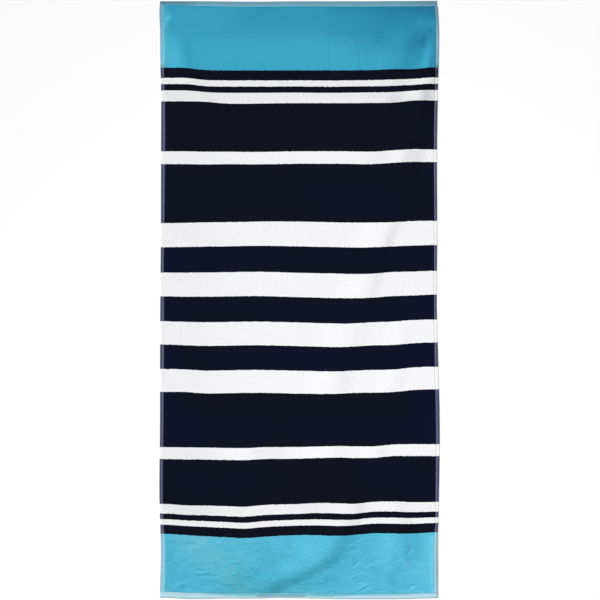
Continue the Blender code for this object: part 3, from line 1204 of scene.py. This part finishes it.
def face_material(colours, cloth):
    """Sheared pile of the face: striped yarn, its navy bluer in soft bands and its turquoise
    bleached in patches, painted shade and painted light in patches and on slopes, fine strokes over
    the turquoise, crush marks in the foot panel, and painted shade in the seam where pile meets hem,
    which the white hides and the turquoise breaks up. On turquoise a shade works most on the red
    and least on the blue, and on white less on the blue too."""
    material, tree, shader = matt("sheared_pile", 0.95)
    place = map_place(tree, "cloth")
    bands = stretched_noise(tree, place, stretch=(1.0, 0.6, 1.0), scale=5.0)
    bands = span(tree, bands, 0.25, 0.75, 0.5, 1.2)
    bluer = maths(tree, "MULTIPLY", number_at(tree, "bluer"), bands, clamp=True)
    navy = mix_colours(tree, bluer, opaque(colours.navy), opaque(colours.navy_bluer))
    ends = opaque(colours.head_turquoise), opaque(colours.foot_turquoise)
    stripes = striped(tree, place, cloth.fray, navy, opaque(colours.white), *ends)
    white, turquoise = stripes["White mask"], stripes["Turquoise mask"]

    pile = use_group(tree, "cotton pile", {"Place": place, "Tuft": FACE_TUFT, "Rows": 0.15})
    crush = number_at(tree, "crush")
    mark = soft_marks(tree, place, stretch=(14.0, 75.0, 1.0), scale=1.6)
    mark = maths(tree, "MULTIPLY", mark, crush)
    stroke = soft_marks(tree, place, stretch=(60.0, 170.0, 1.0), scale=1.0)
    stroke = maths(tree, "MULTIPLY", stroke, between(tree, crush, *STROKE_SHADES), turquoise)
    # The shade: grain, crush marks and strokes, with the painted shade and light of the patches, slopes and
    # rims
    grain = maths(tree, "MULTIPLY", pile["Shade"], GRAIN_SHADE)
    crushed = maths(tree, "MULTIPLY", mark, MARK_SHADE)
    shade = maths(tree, "ADD", grain, crushed, stroke, number_at(tree, "painted_shade"), 1.0)

    # Painted shade in the seam where the pile meets its hem, left off the white and broken up on the
    # turquoise
    broken = span(tree, noise(tree, place, scale=28.0), 0.4, 0.6, 0.85, 1.0)
    past_seam = span(tree, number_at(tree, "inset"), *SEAM_END)
    past_seam = maths(tree, "MAXIMUM", past_seam, white, maths(tree, "MULTIPLY", turquoise, broken))
    shade = maths(tree, "MULTIPLY", shade, between(tree, past_seam, SEAM_PAINTED_SHADE, 1.0))

    # The hue of the painted shade and light as well as of the grain
    more_red = maths(tree, "MULTIPLY", turquoise, between(tree, crush, *MORE_RED))
    less_blue = maths(tree, "MULTIPLY", turquoise, between(tree, crush, *LESS_BLUE))
    less_blue = maths(tree, "ADD", less_blue, maths(tree, "MULTIPLY", white, WHITE_LESS_BLUE))
    red = maths(tree, "POWER", shade, maths(tree, "ADD", 1.0, more_red))
    blue = maths(tree, "POWER", shade, maths(tree, "SUBTRACT", 1.0, less_blue))

    patchy = span(tree, noise(tree, place, scale=45.0), 0.3, 0.6, 0.3, 1.0)
    bleach = maths(tree, "MULTIPLY", number_at(tree, "bleach"), patchy, turquoise)
    colour = mix_colours(tree, bleach, stripes["Colour"], opaque(colours.bleached))
    colour = shaded(tree, colour, red, shade, blue)
    height = maths(tree, "ADD", pile["Height"], maths(tree, "MULTIPLY", mark, 0.5))
    finish_cotton(tree, shader, colour, height, FACE_RELIEF)
    return material


def back_material(colours, cloth):
    """Looped pile of the back: the same stripes a little duller, in larger, deeper tufts."""
    material, tree, shader = matt("looped_back", 0.97)
    place = map_place(tree, "cloth")
    yarns = (colours.navy, colours.white, colours.head_turquoise, colours.foot_turquoise)
    dull = [opaque(BACK_SHARE * value + BACK_GREY for value in yarn) for yarn in yarns]
    stripes = striped(tree, place, BACK_FRAY * cloth.fray, *dull)
    pile = use_group(tree, "cotton pile", {"Place": place, "Tuft": BACK_TUFT, "Rows": 0.35})
    shade = maths(tree, "ADD", maths(tree, "MULTIPLY", pile["Shade"], BACK_GRAIN), BACK_LIGHT)
    colour = shaded(tree, stripes["Colour"], shade, shade, shade)
    finish_cotton(tree, shader, colour, pile["Height"], BACK_RELIEF)
    return material


def hem_material(colours, cloth):
    """Flat-woven hem. Its navy and turquoise are toned by the hem's painted shade and light, in
    flecks, and less blue in some patches, and pale weft, worn greyer in places, shows in the
    turquoise. Its white is even, and has painted shade and light of its own over the hem's width."""
    material, tree, shader = matt("flat_woven_hem", 0.9)
    place = map_place(tree, "cloth")
    yarns = (colours.hem_navy, colours.hem_white_painted_light, colours.head_turquoise, colours.foot_turquoise)
    stripes = striped(tree, place, HEM_FRAY * cloth.fray, *(opaque(yarn) for yarn in yarns))
    weave = use_group(tree, "flat weave", {"Place": place, "Pitch": WEAVE_PITCH})
    flecked = between(tree, weave["Fleck"], *FLECKS)
    # The hem's painted shade and light, in flecks
    tone = maths(tree, "MULTIPLY", number_at(tree, "hem_tone_painted"), flecked)
    blue = maths(tree, "MULTIPLY", tone, maths(tree, "SUBTRACT", 1.0, number_at(tree, "hem_dull")))
    worn = span(tree, noise(tree, place, scale=32.0), 0.35, 0.65)
    weft = mix_colours(tree, worn, opaque(colours.pale_weft), opaque(colours.worn_weft))
    pale = maths(tree, "MULTIPLY", number_at(tree, "hem_pale"), stripes["Turquoise mask"])
    toned = mix_colours(tree, pale, stripes["Colour"], weft)
    toned = shaded(tree, toned, tone, tone, blue)
    # Painted shade and light of the white hems over their width
    even = number_at(tree, "hem_white_painted_light")
    white = shaded(tree, stripes["Colour"], even, even, even)
    colour = mix_colours(tree, stripes["White mask"], toned, white)
    finish_cotton(tree, shader, colour, weave["Height"], HEM_RELIEF)
    return material


def thread_material(colours):
    """Sewing thread: two strands twisted together, as slanted waves on the thread's own map."""
    material, tree, shader = matt("hem_thread", 0.6)
    place = map_place(tree, "thread")
    along, around, _ = split(tree, place)
    turn_along = maths(tree, "MULTIPLY", along, TWIST_ALONG)
    turn_around = maths(tree, "MULTIPLY", around, TWIST_AROUND)
    twist = sine(tree, maths(tree, "ADD", turn_along, turn_around))
    fibre = maths(tree, "MULTIPLY", noise(tree, place, scale=900.0, detail=2.0), FIBRE_SHADE)
    shade = maths(tree, "ADD", maths(tree, "MULTIPLY", twist, TWIST_SHADE), fibre, 1 - FIBRE_SHADE / 2)
    colour = shaded(tree, opaque(colours.thread), shade, shade, shade)
    finish_cotton(tree, shader, colour, twist, THREAD_RELIEF)
    return material


def floor_material(colour):
    """A plain matt surface for the floor."""
    material, _, shader = matt("studio_floor", 1.0, 0.0)
    shader.inputs["Base Color"].default_value = opaque(colour)
    return material


# Mesh helpers


def link(name, data):
    """An object for a mesh, a light or a camera, in the scene and at the origin."""
    made = bpy.data.objects.new(name, data)
    bpy.context.scene.collection.objects.link(made)
    return made


def flat(values, kind=np.float32):
    """Numbers in one row, as a mesh takes them."""
    return np.ascontiguousarray(values, dtype=kind).ravel()


def point_attribute(mesh, name, values, kind="FLOAT", field="value"):
    """One number for each point, or one vector."""
    mesh.attributes.new(name, kind, "POINT").data.foreach_set(field, flat(values))


def corner_map(mesh, name, values):
    """A UV map with one place for each corner of each face."""
    mesh.uv_layers.new(name=name).uv.foreach_set("vector", flat(values))


def filled_mesh(name, points, quads):
    """A mesh of four-sided faces from arrays of points and of their numbers."""
    mesh = bpy.data.meshes.new(name)
    mesh.vertices.add(len(points))
    mesh.vertices.foreach_set("co", flat(points))
    mesh.loops.add(quads.size)
    mesh.loops.foreach_set("vertex_index", flat(quads, np.int32))
    mesh.polygons.add(len(quads))
    mesh.polygons.foreach_set("loop_start", np.arange(0, quads.size, 4, dtype=np.int32))
    mesh.update(calc_edges=True)
    mesh.validate()
    return mesh


def grid_quads(index):
    """Four-sided faces between the neighbours in a grid of point numbers."""
    corners = (index[:-1, :-1], index[:-1, 1:], index[1:, 1:], index[1:, :-1])
    return np.stack(corners, axis=-1).reshape(-1, 4)


def sheet_quads(rows, cols):
    """Faces of a closed sheet on one grid: its face's, then its back's, which look the other
    way. The back has points of its own inside the edge and shares the edge's."""
    top = np.arange(rows * cols).reshape(rows, cols)
    under = top.copy()
    under[1:-1, 1:-1] = rows * cols + np.arange((rows - 2) * (cols - 2)).reshape(rows - 2, cols - 2)
    return np.concatenate((grid_quads(top), grid_quads(under)[:, ::-1]))


def sheet_points(face, back):
    """Values for a closed sheet's points: its face's, then its back's inside the edge."""
    count = face.shape[0] * face.shape[1]
    inner = back[1:-1, 1:-1]
    return np.concatenate((face.reshape(count, -1), inner.reshape(inner.shape[0] * inner.shape[1], -1)))


# Pieces


def over_hem(name, share):
    """A curve of the hem's shade, read by the share of the hem's width."""
    return np.interp(share, *OVER_HEM[name])


def along_hem(name, place):
    """A curve of the hem's shade, read by the place along the hem."""
    places, values = ALONG_HEM[name]
    return np.interp(place, np.array(places) * MM, values)


def painted_hem_tones(across, along):
    """Tone, paleness and whiteness of the hems, each read from curves over the hem's width and
    along it. The end hems lie over the side hems at the corners. The tone is painted shade and
    light: a side hem is darker on its outer half, where it turns down, and a navy one in the seam
    beside the pile too, and the head hem is darker, most towards its left end. The foot hem is pale
    from its edge as far in as its own curve says. The whiteness is painted shade and painted light
    on the white stripes' hems."""
    side, end = (inset / HEM for inset in from_edges(across, along))
    on_end, at_head, at_left = end < 1, along > 0, across < 0
    on_turquoise = np.abs(along) > TURQUOISE_HEM

    side_tone = np.where(on_turquoise, over_hem("turquoise tone", side), over_hem("navy tone", side))
    side_tone = side_tone * np.where(at_left, along_hem("left tone", along), along_hem("right tone", along))
    head_tone = over_hem("head tone", end) * along_hem("head tone", across)
    end_tone = np.where(at_head, head_tone, over_hem("foot tone", end))

    side_pale = np.where(at_head, over_hem("head side pale", side), over_hem("foot side pale", side))
    foot_pale = over_hem("foot pale", end / along_hem("foot pale width", across))
    end_pale = np.where(at_head, HEAD_PALE, foot_pale)

    white = np.where(at_left, over_hem("left white", side), over_hem("right white", side))
    return np.where(on_end, end_tone, side_tone), np.where(on_end, end_pale, side_pale), white


def painted_pile_light(x, y, across, along, slope, painted_slope_light):
    """How much lighter the pile looks, all of it painted light and shade: its patches, painted shade
    on a slope that rises towards the head and painted light on one that falls, where the side light
    would fall, and on white the painted shade at the left side hem and the painted light at the
    right one, where the pile rounds down to it."""
    # Painted shade at the left rim and painted light at the right one, on white pile only
    rim = np.where(across < 0, LEFT_RIM_PAINTED_SHADE, RIGHT_RIM_PAINTED_LIGHT)
    at_rim = (np.minimum(*from_edges(across, along)) < RIM_INSET) & (stripe_depth(along, "white") > 0)
    return soft_patches(x, y, PAINTED_SHADE_TABLE) - painted_slope_light * slope + rim * at_rim


def make_cloth(colours, cloth):
    """The towel itself: a face and a back on one grid, which share the points of the edge."""
    columns_at = grid_lines(WIDTH, ACROSS_STEPS, ())
    rows_at = grid_lines(LENGTH, ALONG_STEPS, stripe_edges())
    across, along = np.meshgrid(columns_at, rows_at)
    face, back, lift = laid_cloth(across, along, cloth.crease_strength, cloth.pile_uneven)
    quads = sheet_quads(*across.shape)
    mesh = filled_mesh("towel_cloth", sheet_points(face, back), quads)

    x, y = face[..., 0], face[..., 1]
    inset = np.minimum(*from_edges(across, along))
    place_across, place_along = fitted(across, along)
    slope = np.gradient(lift, axis=0) / np.gradient(y, axis=0)
    # The hems' tone and whiteness are painted shade and light
    tone, pale, white = painted_hem_tones(across, along)
    numbers = {
        "inset": inset / HEM,
        "hem_tone_painted": tone * (1 + soft_patches(x, y, HEM_PAINTED_PATCHES)),
        "hem_pale": pale,
        "hem_white_painted_light": white,
        "hem_dull": soft_patches(x, y, HEM_DULL),
        "painted_shade": painted_pile_light(x, y, across, along, slope, cloth.painted_slope_light),
        "bleach": soft_patches(x, y, BLEACH),
        "bluer": soft_patches(x, y, BLUER),
        "crush": np.clip((CRUSH_EDGE - place_along) / CRUSH_EASE, 0, 1),
    }
    for name, values in numbers.items():
        point_attribute(mesh, name, sheet_points(values, values))
    depths = np.stack((stripe_depth(along, "white"), stripe_depth(along, "turquoise"), 0 * along), axis=-1)
    point_attribute(mesh, "stripe_depth", sheet_points(depths, depths), "FLOAT_VECTOR", "vector")

    places = np.stack((place_across, place_along), axis=-1)
    places = sheet_points(places, places)[quads.ravel()]
    corner_map(mesh, "cloth", places)
    on_back = np.arange(len(quads)) >= len(quads) // 2
    share = places / (WIDTH, LENGTH) + 0.5
    bake_across = BAKE_RIM + (0.5 - 2 * BAKE_RIM) * share[:, 0] + 0.5 * np.repeat(on_back, 4)
    bake_along = BAKE_RIM + (1 - 2 * BAKE_RIM) * share[:, 1]
    corner_map(mesh, "OFBake", np.column_stack((bake_across, bake_along)))

    for material in (face_material, back_material, hem_material):
        mesh.materials.append(material(colours, cloth))
    middle = sheet_points(inset, inset)[quads].mean(axis=1).ravel()
    kinds = np.where(middle < HEM, 2, on_back.astype(int))
    mesh.polygons.foreach_set("material_index", flat(kinds, np.int32))
    mesh.shade_smooth()
    return link("towel_cloth", mesh)


def stitch_places(pitch):
    """Middle of each stitch in the cut cloth, and the way it runs. The side rows end at the end
    hems, whose own rows run from edge to edge."""
    centres, ways = [], []
    for half_run, row, way in (
        (LENGTH / 2 - HEM, WIDTH / 2 - STITCH_INSET, (0.0, 1.0)),
        (WIDTH / 2 - STITCH_END, LENGTH / 2 - STITCH_INSET, (1.0, 0.0)),
    ):
        count = int(2 * half_run / pitch)
        run = (np.arange(count) - (count - 1) / 2) * pitch
        for offset in (-row, row):
            centres.append(run[:, None] * way + offset * np.flip(way))
            ways.append(np.tile(way, (count, 1)))
    return np.concatenate(centres), np.concatenate(ways)


def tube_quads(index):
    """Walls and closed ends of tubes of six sides, from the numbers of their points by tube,
    ring and side. Each end is closed by two four-sided faces."""
    turned = np.roll(index, -1, axis=2)
    walls = np.stack((index[:, :-1], turned[:, :-1], turned[:, 1:], index[:, 1:]), axis=-1).reshape(-1, 4)
    first, last = index[:, 0, ::-1], index[:, -1]
    caps = [ends[:, corners] for ends in (first, last) for corners in ((0, 1, 2, 3), (0, 3, 4, 5))]
    return np.concatenate((walls, *caps))


def make_stitches(colours, cloth, sewing):
    """The hem's stitches, on the face and on the back, as one mesh. Each stitch is a short
    tube, thinner at its ends, whose middle line is a sine arch over the hem and whose closed
    ends dip into it. On the back it is pressed flat where it would reach below the ground."""
    centres, ways = stitch_places(sewing.pitch)
    side_ways = np.column_stack((-ways[:, 1], ways[:, 0]))
    t = np.linspace(-0.5, 0.5, STITCH_RINGS)
    forward = ways[:, None] * (t * STITCH_LENGTH)[None, :, None]
    sideways = side_ways[:, None] * (t * STITCH_SLANT)[None, :, None]
    plan = centres[:, None] + forward + sideways
    face, back, _ = laid_cloth(plan[..., 0], plan[..., 1], cloth.crease_strength, cloth.pile_uneven)

    arch = STITCH_ARCH * np.cos(np.pi * t) - sewing.radius
    angle = np.arange(THREAD_SIDES) * 2 * np.pi / THREAD_SIDES
    thin = STITCH_TIP + (1 - STITCH_TIP) * np.cos(np.pi * t)
    out = sewing.radius * np.cos(angle)[None, :] * thin[:, None]
    up = sewing.radius * np.sin(angle)[None, :] * thin[:, None]

    def tubes(line, upright):
        rings = np.repeat(line[:, :, None, :], THREAD_SIDES, axis=2)
        rings[..., :2] += side_ways[:, None, None, :] * out[None, ..., None]
        rings[..., 2] += upright * arch[None, :, None] + up[None]
        return rings

    points = np.concatenate((tubes(face, 1), tubes(back, -1)))
    points[..., 2] = np.maximum(points[..., 2], 0.0)
    index = np.arange(points[..., 0].size).reshape(points.shape[:3])
    quads = tube_quads(index)
    mesh = filled_mesh("hem_stitching", points.reshape(-1, 3), quads)
    along_thread = np.broadcast_to((t * STITCH_LENGTH)[None, :, None], index.shape)
    round_thread = np.broadcast_to((np.arange(THREAD_SIDES) / THREAD_SIDES)[None, None, :], index.shape)
    thread_map = np.stack((along_thread, round_thread), axis=-1).reshape(-1, 2)
    corner_map(mesh, "thread", thread_map[quads.ravel()])
    mesh.materials.append(thread_material(colours))
    mesh.shade_smooth()
    return link("hem_stitching", mesh)


# Stage


def make_floor(studio):
    """A square floor under the towel."""
    half = studio.floor_size / 2
    corners = np.array(((-half, -half, 0), (half, -half, 0), (half, half, 0), (-half, half, 0)))
    mesh = filled_mesh("floor", corners, np.array([[0, 1, 2, 3]]))
    mesh.materials.append(floor_material(studio.floor))
    floor = link("floor", mesh)


def make_lights(studio):
    """A soft light from the left, a panel overhead towards the foot, and light all round.
    Past the floor's edge the camera sees a paler ground, like the far end of the floor."""
    sun = bpy.data.lights.new("side light", "SUN")
    sun.energy = studio.key
    sun.angle = studio.key_softness
    side = link("side light", sun)
    side.rotation_euler = (0.0, studio.key_height - np.pi / 2, studio.key_side)

    panel = bpy.data.lights.new("overhead panel", "AREA")
    panel.shape = "SQUARE"
    panel.size = PANEL_SIZE
    panel.energy = studio.overhead
    over = link("overhead panel", panel)
    over.location = PANEL_PLACE

    world = bpy.data.worlds.new("studio")
    world.use_nodes = True
    tree = world.node_tree
    background = tree.nodes["Background"]
    background.inputs["Color"].default_value = (1.0, 1.0, 1.0, 1.0)
    seen = add_node(tree, "ShaderNodeLightPath").outputs["Is Camera Ray"]
    strength = between(tree, seen, studio.fill, studio.backdrop)
    tree.links.new(strength, background.inputs["Strength"])
    bpy.context.scene.world = world


def make_camera(studio):
    """The camera straight above the towel, as high over the pile as the lens needs to take the
    picture in: lens over sensor, times the picture's size."""
    lens = bpy.data.cameras.new("camera")
    lens.lens = studio.lens
    lens.sensor_width = SENSOR
    camera = link("camera", lens)
    height = PICTURE_SIZE * studio.lens / SENSOR
    camera.location = (*PICTURE_MIDDLE, height + PICTURE_HEIGHT)
    bpy.context.scene.camera = camera


class TOWEL_OT_lay_cloth(bpy.types.Operator):
    """Lay the striped cloth with its folds, creases and hems"""

    bl_idname = "towel.lay_cloth"
    bl_label = "Lay the cloth"

    def execute(self, context):
        for build in (stripe_group, pile_group, weave_group):
            build()
        piece = make_cloth(context.scene.towel_colours, context.scene.towel_cloth)
        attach(piece, BODY)
        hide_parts(NODE)
        return {"FINISHED"}


class TOWEL_OT_sew_hems(bpy.types.Operator):
    """Sew the hems down, on the face and on the back"""

    bl_idname = "towel.sew_hems"
    bl_label = "Sew the hems"

    def execute(self, context):
        scene = context.scene
        piece = make_stitches(scene.towel_colours, scene.towel_cloth, scene.towel_sewing)
        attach(piece, BODY)
        return {"FINISHED"}


class TOWEL_OT_set_studio(bpy.types.Operator):
    """Set out the floor, the light and the camera"""

    bl_idname = "towel.set_studio"
    bl_label = "Set the studio"

    def execute(self, context):
        studio = context.scene.towel_studio
        make_floor(studio)
        make_lights(studio)
        make_camera(studio)
        context.scene.view_settings.view_transform = "Standard"
        return {"FINISHED"}


class TOWEL_PT_sidebar(bpy.types.Panel):
    """Lists the towel's steps and their settings"""

    bl_idname = "TOWEL_PT_sidebar"
    bl_label = "Beach towel"
    bl_space_type = "VIEW_3D"
    bl_region_type = "UI"
    bl_category = "Towel"

    def draw(self, context):
        for step in STEPS:
            self.layout.operator(step.bl_idname)
        for name, group in SETTINGS.items():
            box = self.layout.box()
            for setting in group.__annotations__:
                box.prop(getattr(context.scene, name), setting)


STEPS = (TOWEL_OT_lay_cloth, TOWEL_OT_sew_hems, TOWEL_OT_set_studio)
SETTINGS = {
    "towel_colours": TowelColours,
    "towel_cloth": TowelCloth,
    "towel_sewing": TowelSewing,
    "towel_studio": TowelStudio,
}


def register():
    """Makes the settings and the steps known to Blender."""
    for group in SETTINGS.values():
        bpy.utils.register_class(group)
    for name, group in SETTINGS.items():
        setattr(bpy.types.Scene, name, PointerProperty(type=group))
    for step in (*STEPS, TOWEL_PT_sidebar):
        bpy.utils.register_class(step)


def unregister():
    """Takes the steps and the settings out again."""
    for step in (TOWEL_PT_sidebar, *reversed(STEPS)):
        bpy.utils.unregister_class(step)
    for name in SETTINGS:
        delattr(bpy.types.Scene, name)
    for group in reversed(SETTINGS.values()):
        bpy.utils.unregister_class(group)


def main():
    """Runs the steps in order."""
    register()
    bpy.ops.towel.lay_cloth()
    bpy.ops.towel.sew_hems()
    bpy.ops.towel.set_studio()


if __name__ == "__main__":
    main()
